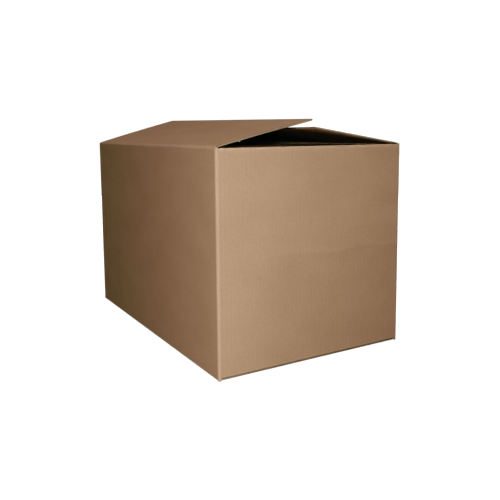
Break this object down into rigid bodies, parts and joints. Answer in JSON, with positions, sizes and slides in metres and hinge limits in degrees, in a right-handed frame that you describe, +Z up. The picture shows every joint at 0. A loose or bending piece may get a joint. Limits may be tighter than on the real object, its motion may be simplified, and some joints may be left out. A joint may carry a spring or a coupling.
{
  "type": "cardboard box",
  "caption": "Plain kraft carton folded from one corrugated sheet, bottom glued shut, end flaps folded in and the two long top flaps sprung slightly open on their creases.",
  "frame": {"origin": "middle of the bottom, on the plane that the carton stands on", "axes": "+X across the carton from the left flap's hinge to the right flap's hinge, +Y along its length away from the end that the picture shows, +Z up"},
  "size_m": [0.31, 0.48, 0.3388],
  "materials": {
    "kraft_board": "uncoated brown kraft paper, matt"
  },
  "bodies": {
    "carton": {"carton": "kraft_board"},
    "left_flap": {"left_top_flap": "kraft_board"},
    "right_flap": {"right_top_flap": "kraft_board"}
  },
  "joints": [
    {"name": "left_flap_crease", "type": "hinge", "parent": "carton", "child": "left_flap", "pos_m": [-0.155, 0, 0.304], "axis": [0, -1, 0], "range_deg": [-13, 237]},
    {"name": "right_flap_crease", "type": "hinge", "parent": "carton", "child": "right_flap", "pos_m": [0.155, 0, 0.304], "axis": [0, 1, 0], "range_deg": [-8.5, 241.5]}
  ]
}
